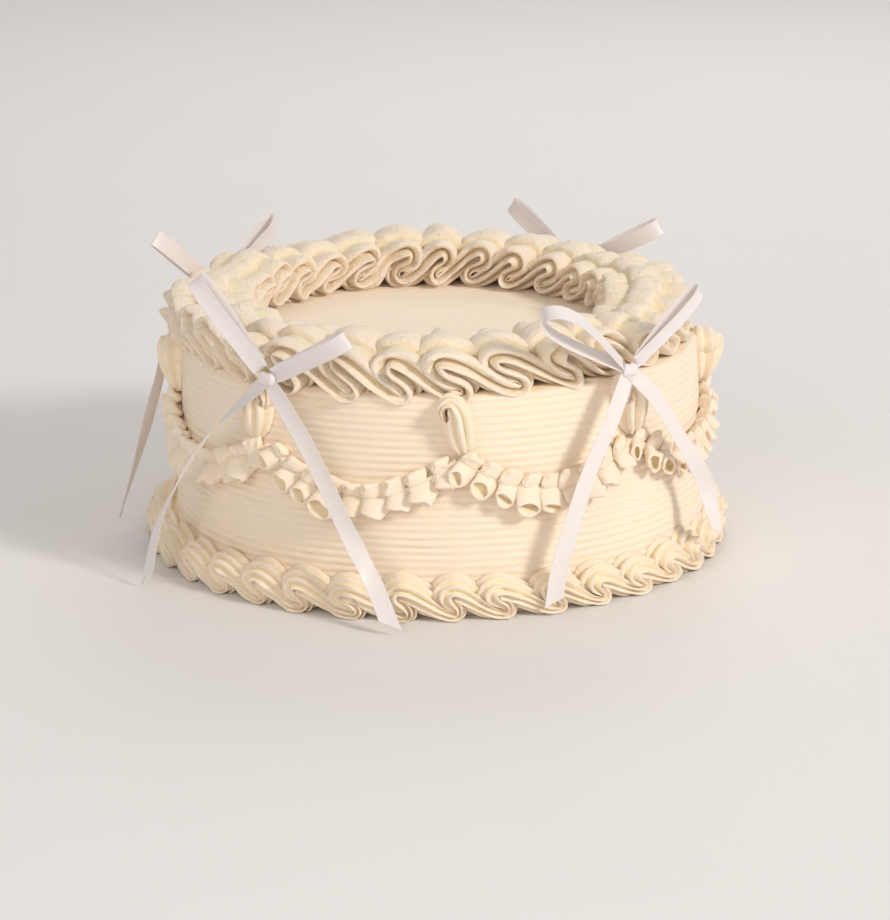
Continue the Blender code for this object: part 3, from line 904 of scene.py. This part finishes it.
def strap(centres, across, widths, slant=0.0):
    """A ribbon strap: a thin rounded section with a saw-edged selvedge, carried on a line.

    The section is a flat loop: half * cos(a) across and thickness * sin(a) through, with
    half squared off. The last point's row is slanted across the strap.
    """
    around = 20
    along, across = across_strap(centres, across)
    face = np.cross(along, across)
    turn = full_turn(around)
    flat = squared(np.cos(turn), 0.55)
    through = squared(np.sin(turn), 0.35)
    steps = np.concatenate(((0.0,), np.cumsum(np.linalg.norm(np.diff(centres, axis=0), axis=1))))
    teeth = TEETH_DEPTH * np.abs(np.mod(steps / TEETH_PITCH, 1.0) * 2.0 - 1.0)
    half = 0.5 * widths - teeth
    thickness = 0.5 * sizes().ribbon_thickness
    cup = STRAP_CUP * (1.0 - flat ** 2)
    end = held((steps - steps[-1] + CUT_STRETCH) / CUT_STRETCH) * slant
    points = (centres[:, None] + (half[:, None] * flat)[..., None] * across[:, None]
              + (thickness * through + cup)[None, :, None] * face[:, None]
              + (end[:, None] * flat * half[:, None])[..., None] * along[:, None])
    values = {"along": np.tile(steps[:, None], (1, around)),
              "across": half[:, None] * flat}
    return tube_mesh("strap", points, False, values)


# How much a loop and a tail narrow where they go into the knot, and over what share of them
LOOP_NARROWS, LOOP_NARROWS_OVER = 0.24, 0.10
TAIL_NARROWS, TAIL_NARROWS_OVER = 0.22, 0.04


def bow_loop(knot, tip, spread, opening, curl):
    """A loop of ribbon, leaf-shaped from the side: out to the tip and back.

    reach = sin(pi s) ^ 0.8 towards the tip, and spread = opening * sin(2 pi s).
    """
    s = np.linspace(0.015, 0.985, 170)
    reach = tip - knot
    spread = spread / np.linalg.norm(spread)
    travel = np.sin(math.pi * s) ** 0.8
    bulge = np.sin(TAU * s) * opening
    sideways = np.cross(reach, spread)
    sideways /= np.linalg.norm(sideways)
    centres = knot + travel[:, None] * reach + bulge[:, None] * spread
    centres += (curl * np.sin(math.pi * s) ** 2 * (s - 0.5))[:, None] * sideways
    narrow = LOOP_NARROWS * np.exp(-(travel / LOOP_NARROWS_OVER) ** 2)
    widths = sizes().ribbon_width * (1.0 - narrow)
    across = np.tile(sideways, (len(s), 1))
    return strap(centres, across, widths)


def bow_tail(knot, points, twist, slant):
    """A hanging tail: flat towards the cake, turning over where twist says, with a slant cut."""
    line = smooth_line(np.vstack((knot, points)), 190)
    s = np.linspace(0.0, 1.0, len(line))
    across = np.cross((0.0, 0.0, -1.0), line * (1.0, 1.0, 0.0))
    along, across = across_strap(line, across)
    face = np.cross(along, across)
    place, amount, spread = twist
    turn = np.radians(amount) * np.exp(-((s - place) / spread) ** 2)
    across = across * np.cos(turn)[:, None] + face * np.sin(turn)[:, None]
    narrow = TAIL_NARROWS * np.exp(-(s / TAIL_NARROWS_OVER) ** 2)
    widths = sizes().ribbon_width * (1.0 - narrow)
    return strap(line, across, widths, slant)


# A knot's half width, half depth and half height, how square it is, its folds and their depth
KNOT_HALF_SIZE = (0.0036, 0.0019, 0.0023)
KNOT_SQUARE = 0.65
KNOT_FOLDS = 7.0
KNOT_FOLD_DEPTH = 0.04


def bow_knot(centre, outward):
    """The knot: a puffed band wrapped over the middle, pinched at its waist and creased.

    A squared ellipsoid, taller at its sides than in its middle, with shallow folds round it.
    """
    rows, around = 40, 54
    tall = np.linspace(-1.0, 1.0, rows + 2)[1:-1, None] * 0.5 * math.pi
    turn = full_turn(around)[None, :]
    ring = np.cos(tall) ** 0.5
    folds = 1.0 + KNOT_FOLD_DEPTH * np.cos(turn * KNOT_FOLDS + tall * 2.0) * ring
    half_width, half_depth, half_height = KNOT_HALF_SIZE
    x = half_width * ring * squared(np.cos(turn), KNOT_SQUARE) * folds
    y = half_depth * ring * squared(np.sin(turn), KNOT_SQUARE) * folds
    z = half_height * np.sin(tall) * (1.0 + 0.12 * np.cos(2.0 * turn))
    side = np.array((-outward[1], outward[0], 0.0))
    upward = np.array((0.0, 0.0, 1.0))
    points = centre + x[..., None] * side + y[..., None] * outward + z[..., None] * upward
    values = {"along": z, "across": 0.6 * x}
    return tube_mesh("knot", points, False, values)


# Bows: knot, loop tips and tail points as (angle, radius, height), as in the solids; each
# loop has an opening direction (sideways, outwards, up), an opening and a curl, and each
# tail a twist (place, degrees, spread) and the slant of its cut end
BOWS = {
    "bow_front_left": {
        "knot": (-34.6, 0.1137, 0.0893),
        "loops": (
            ((-49.0, 0.121, 0.1248), (0.35, 1.0, 0.1), 0.0030, 0.004),
            ((-17.0, 0.116, 0.1085), (0.0, 1.0, -0.25), 0.0026, -0.002),
        ),
        "tails": (
            (((-47.2, 0.117, 0.066), (-55.5, 0.121, 0.044), (-59.4, 0.1275, 0.0225),
              (-57.4, 0.1350, 0.0042)), (0.33, 62.0, 0.30), 0.9),
            (((-24.7, 0.117, 0.0645), (-16.9, 0.119, 0.0350), (-11.6, 0.125, 0.0180),
              (-8.2, 0.1320, 0.0040)), (0.66, -34.0, 0.09), -1.0),
        ),
    },
    "bow_front_right": {
        "knot": (38.8, 0.1137, 0.0906),
        "loops": (
            ((19.6, 0.1175, 0.1178), (0.45, 0.75, 0.6), 0.0062, 0.004),
            ((55.2, 0.120, 0.1166), (0.15, 1.0, -0.2), 0.0026, 0.002),
        ),
        "tails": (
            (((33.5, 0.1165, 0.073), (28.6, 0.1170, 0.0550), (22.6, 0.1185, 0.0230),
              (20.9, 0.1190, 0.0060)), (0.8, 12.0, 0.2), 0.7),
            (((45.1, 0.1165, 0.0768), (51.6, 0.118, 0.0583), (58.4, 0.120, 0.0390),
              (59.6, 0.1245, 0.0190)), (0.75, 50.0, 0.15), -0.6),
        ),
    },
    "bow_rear_right": {
        "knot": (148.0, 0.1080, 0.0890),
        "loops": (
            ((164.7, 0.118, 0.1116), (0.0, 1.0, 0.0), 0.0022, 0.002),
            ((128.5, 0.118, 0.1100), (0.2, 1.0, 0.1), 0.0034, -0.002),
        ),
        "tails": (
            (((153.0, 0.1165, 0.070), (158.0, 0.118, 0.0500), (161.5, 0.121, 0.0250),
              (166.0, 0.1260, 0.0050)), (0.6, 30.0, 0.15), 0.8),
            (((143.0, 0.1165, 0.0720), (137.0, 0.118, 0.0540), (134.0, 0.120, 0.0300),
              (130.0, 0.1240, 0.0120)), (0.5, -25.0, 0.15), -0.8),
        ),
    },
    "bow_rear_left": {
        "knot": (-120.0, 0.1068, 0.0890),
        "loops": (
            ((-103.0, 0.118, 0.1168), (0.0, 1.0, 0.2), 0.0024, 0.002),
            ((-143.0, 0.117, 0.1090), (-0.2, 1.0, 0.2), 0.0030, -0.002),
        ),
        "tails": (
            (((-109.0, 0.117, 0.072), (-103.3, 0.119, 0.0550), (-99.0, 0.125, 0.0290),
              (-91.5, 0.1305, 0.0070)), (0.6, 25.0, 0.2), -0.8),
            (((-126.0, 0.1165, 0.0700), (-132.0, 0.118, 0.0500), (-137.0, 0.121, 0.0270),
              (-139.0, 0.1250, 0.0060)), (0.5, 25.0, 0.15), 0.8),
        ),
    },
}


def make_bow(bow):
    """One ribbon tied in a bow: two loops, two tails and the knot over them."""
    def spot(angle, radius, height):
        return round_axis(math.radians(angle), radius, height)

    knot = spot(*bow["knot"])
    outward = spot(bow["knot"][0], 1.0, 0.0)
    sideways = spot(bow["knot"][0] + 90.0, 1.0, 0.0)
    upward = np.array((0.0, 0.0, 1.0))
    parts = []
    for tip, (side, out, up), opening, curl in bow["loops"]:
        spread = side * sideways + out * outward + up * upward
        parts.append(bow_loop(knot, spot(*tip), spread, opening, curl))
    for tail, twist, slant in bow["tails"]:
        points = np.array([spot(*point) for point in tail])
        parts.append(bow_tail(knot, points, twist, slant))
    parts.append(bow_knot(knot, outward))
    return joined("bow", parts)


class CakeSizes(bpy.types.PropertyGroup):
    """Sizes of the finish."""

    ridges: bpy.props.IntProperty(
        name="Side ridges", description="Comb ridges up the side", default=29)
    ridge_depth: bpy.props.FloatProperty(
        name="Ridge depth", description="Depth of the grooves on the side", default=0.0008,
        unit="LENGTH", precision=5)
    top_comb: bpy.props.FloatProperty(
        name="Top comb pitch", description="Distance between the lines on the top",
        default=0.0029, unit="LENGTH", precision=5)
    top_comb_depth: bpy.props.FloatProperty(
        name="Top comb depth", description="Depth of the lines on the top", default=0.00095,
        unit="LENGTH", precision=5)
    ribbon_width: bpy.props.FloatProperty(
        name="Ribbon width", description="Width of the satin ribbon", default=0.0070,
        unit="LENGTH", precision=5)
    ribbon_thickness: bpy.props.FloatProperty(
        name="Ribbon thickness", description="Thickness of the satin ribbon", default=0.0003,
        unit="LENGTH", precision=5)


class CakeColours(bpy.types.PropertyGroup):
    """Colours of the finish."""

    cream: bpy.props.FloatVectorProperty(
        name="Buttercream", description="Colour of the buttercream", size=3, subtype="COLOR",
        default=(0.96, 0.812, 0.665))
    # Painted glow: this warm yellow, laid into the creases, stands in for light scattered there. It
    # is not a colour of the cream itself
    crease_glow: bpy.props.FloatVectorProperty(
        name="Creases", description="Colour of the buttercream deep in its creases", size=3,
        subtype="COLOR", default=(1.0, 0.84, 0.54))
    ribbon: bpy.props.FloatVectorProperty(
        name="Ribbon", description="Colour of the satin ribbon", size=3, subtype="COLOR",
        default=(0.86, 0.80, 0.785))
    ribbon_shade: bpy.props.FloatVectorProperty(
        name="Ribbon shade", description="Colour of the ribbon's edges and clouding", size=3,
        subtype="COLOR", default=(0.78, 0.70, 0.69))
    floor: bpy.props.FloatVectorProperty(
        name="Floor", description="Colour of the floor", size=3, subtype="COLOR",
        default=(0.86, 0.85, 0.84))


class CAKE_OT_body(bpy.types.Operator):
    """Covers the cake's body with a combed side and a combed top"""

    bl_idname = "cake.body"
    bl_label = "Cake body"

    def execute(self, context):
        material = buttercream("Smooth buttercream", 0.15)
        show_piece("cake_side", make_body(), material, ("cake_body",))
        show_piece("cake_top", make_top(), material, ("cake_body",))
        return {"FINISHED"}


class CAKE_OT_top_border(bpy.types.Operator):
    """Pipes the border of ruffled shells round the top"""

    bl_idname = "cake.top_border"
    bl_label = "Top border"

    def execute(self, context):
        draws = hand_draws()
        shares = draws["top_shares"]
        starts = -360.0 * np.concatenate(((0.0,), np.cumsum(shares)[:-1]))
        apart = np.abs(np.mod(starts - TALL_SHELLS_ANGLE + 180.0, 360.0) - 180.0)
        tall = 1.0 + TALL_SHELLS_EXTRA * np.exp(-(apart / TALL_SHELLS_SPREAD) ** 2)
        mesh = wave_rope("top_rope", shares, draws["top_sizes"], tall, TOP_ROPE, 11)
        material = buttercream("Piped buttercream", 0.80)
        show_piece("top_rope", mesh, material, ("top_border",))
        return {"FINISHED"}


class CAKE_OT_base_border(bpy.types.Operator):
    """Pipes the border of star shells round the foot"""

    bl_idname = "cake.base_border"
    bl_label = "Base border"

    def execute(self, context):
        draws = hand_draws()
        level = np.ones(len(draws["base_shares"]))
        mesh = wave_rope("base_rope", draws["base_shares"], draws["base_sizes"], level,
                         BASE_ROPE, 12)
        material = buttercream("Foot buttercream", 0.35)
        show_piece("base_rope", mesh, material, ("base_border",))
        return {"FINISHED"}


class CAKE_OT_drops(bpy.types.Operator):
    """Pipes the upright shells on the side"""

    bl_idname = "cake.drops"
    bl_label = "Drops"

    def execute(self, context):
        material = buttercream("Drop buttercream", 0.30)
        for number, size in enumerate(hand_draws()["drop_sizes"]):
            mesh = make_drop(number, DROP_ANGLES[number], size)
            name = "drop_%02d" % (number + 1)
            show_piece(name + "_shell", mesh, material, (name,))
        return {"FINISHED"}


class CAKE_OT_swags(bpy.types.Operator):
    """Pipes the garlands between the drops"""

    bl_idname = "cake.swags"
    bl_label = "Swags"

    def execute(self, context):
        material = buttercream("Swag buttercream", 0.35)
        ends = DROP_ANGLES[1:] + (DROP_ANGLES[0] + 360.0,)
        for number, low in enumerate(hand_draws()["swag_lows"]):
            mesh = make_swag(number, DROP_ANGLES[number], ends[number], low)
            name = "swag_%02d" % (number + 1)
            show_piece(name + "_ruffle", mesh, material, (name,))
        return {"FINISHED"}


class CAKE_OT_bows(bpy.types.Operator):
    """Ties the satin ribbon bows"""

    bl_idname = "cake.bows"
    bl_label = "Ribbon bows"

    def execute(self, context):
        material = satin("Satin ribbon")
        for name, bow in BOWS.items():
            show_piece(name + "_ribbon", make_bow(bow), material, (name,))
        return {"FINISHED"}


# The soft lights: name, place, size, watts and colour, and then the room's light
LIGHTS = (
    ("Key", (2.1, -1.70, 1.60), 0.65, 50.0, (1.0, 0.955, 0.91)),
    ("Fill", (-0.7, -1.5, 0.75), 1.2, 6.2, (1.0, 0.935, 0.90)),
    ("Back", (0.2, 1.2, 1.0), 0.8, 3.8, (1.0, 0.96, 0.93)),
)
ROOM_COLOUR = (1.0, 0.975, 0.95, 1.0)
ROOM_STRENGTH = 0.45
LIGHTS_AIM = (0.0, 0.0, 0.05)
# The floor is a sheet this wide on each side that runs from the front to the back, where it
# sweeps up in a quarter circle of this radius to this height
FLOOR_HALF_WIDTH = 4.0
FLOOR_FRONT = -3.0
SWEEP_START = 1.4
SWEEP_RADIUS = 1.0
FLOOR_TOP = 4.0


def soft_light(name, place, size, power, colour):
    """An area light aimed at the middle of the cake."""
    light = bpy.data.lights.new(name, "AREA")
    light.shape = "DISK"
    light.size = size
    light.energy = power
    light.color = colour
    lamp = bpy.data.objects.new(name, light)
    bpy.context.scene.collection.objects.link(lamp)
    lamp.location = place
    aim = np.array(LIGHTS_AIM) - np.array(place)
    flat = math.hypot(aim[0], aim[1])
    lamp.rotation_euler = (math.atan2(flat, -aim[2]), 0.0, math.atan2(-aim[0], aim[1]))


class CAKE_OT_stage(bpy.types.Operator):
    """Sets the floor, the lights and the camera"""

    bl_idname = "cake.stage"
    bl_label = "Stage"

    def execute(self, context):
        scene = context.scene
        paint = Paint("Pale floor")
        spot = paint.place()
        shade = paint.noise(spot, 6.0, 2.0)
        tone = tuple(colours().floor)
        paint.shade(Base_Color=paint.mix(shade, tone, tuple(0.97 * c for c in tone)), Roughness=0.7)
        mesh = bpy.data.meshes.new("floor")
        sweep = np.linspace(0.0, 0.5 * math.pi, 16)
        line = [(FLOOR_FRONT, 0.0)]
        line += [(SWEEP_START + SWEEP_RADIUS * math.sin(turn),
                  SWEEP_RADIUS * (1.0 - math.cos(turn))) for turn in sweep]
        line += [(SWEEP_START + SWEEP_RADIUS, FLOOR_TOP)]
        corners = [(x, y, z) for y, z in line for x in (-FLOOR_HALF_WIDTH, FLOOR_HALF_WIDTH)]
        faces = [(2 * i, 2 * i + 1, 2 * i + 3, 2 * i + 2) for i in range(len(line) - 1)]
        mesh.from_pydata(corners, [], faces)
        mesh.shade_smooth()
        mesh.materials.append(paint.material)
        floor = bpy.data.objects.new("floor", mesh)
        scene.collection.objects.link(floor)
        for light in LIGHTS:
            soft_light(*light)
        world = bpy.data.worlds.new("Soft room")
        world.use_nodes = True
        room = world.node_tree.nodes["Background"]
        room.inputs["Color"].default_value = ROOM_COLOUR
        room.inputs["Strength"].default_value = ROOM_STRENGTH
        scene.world = world
        scene.view_settings.view_transform = "Standard"
        camera = bpy.data.cameras.new("Camera")
        camera.sensor_fit = "VERTICAL"
        camera.sensor_height = 36.0
        camera.lens = FOCAL_LENGTH / PHOTO_HEIGHT * camera.sensor_height
        camera.clip_start = 0.01
        eye = bpy.data.objects.new("Camera", camera)
        scene.collection.objects.link(eye)
        lift = math.radians(CAMERA_ELEVATION)
        x, y, z = CAMERA_TARGET
        eye.location = (x, y - CAMERA_DISTANCE * math.cos(lift),
                        z + CAMERA_DISTANCE * math.sin(lift))
        eye.rotation_euler = (0.5 * math.pi - lift, 0.0, 0.0)
        eye.rotation_euler.rotate_axis("Z", math.radians(CAMERA_ROLL))
        scene.camera = eye
        return {"FINISHED"}


class CAKE_PT_panel(bpy.types.Panel):
    """Lists the pieces of the cake's finish"""

    bl_idname = "CAKE_PT_panel"
    bl_label = "Piped cake"
    bl_space_type = "VIEW_3D"
    bl_region_type = "UI"
    bl_category = "Cake"

    def draw(self, context):
        for group in (context.scene.cake_sizes, context.scene.cake_colours):
            for name in group.__annotations__:
                self.layout.prop(group, name)
        for operator in PIECES:
            self.layout.operator(operator.bl_idname)


PIECES = (CAKE_OT_body, CAKE_OT_top_border, CAKE_OT_base_border, CAKE_OT_drops, CAKE_OT_swags,
          CAKE_OT_bows, CAKE_OT_stage)
CLASSES = (CakeSizes, CakeColours) + PIECES + (CAKE_PT_panel,)


def register():
    """Adds the classes and the scene's settings."""
    for item in CLASSES:
        bpy.utils.register_class(item)
    bpy.types.Scene.cake_sizes = bpy.props.PointerProperty(type=CakeSizes)
    bpy.types.Scene.cake_colours = bpy.props.PointerProperty(type=CakeColours)


def unregister():
    """Removes them again."""
    del bpy.types.Scene.cake_colours
    del bpy.types.Scene.cake_sizes
    for item in reversed(CLASSES):
        bpy.utils.unregister_class(item)


def main():
    """Adds the classes, then makes every piece in order."""
    register()
    for operator in PIECES:
        group, name = operator.bl_idname.split(".")
        getattr(getattr(bpy.ops, group), name)()


if __name__ == "__main__":
    main()
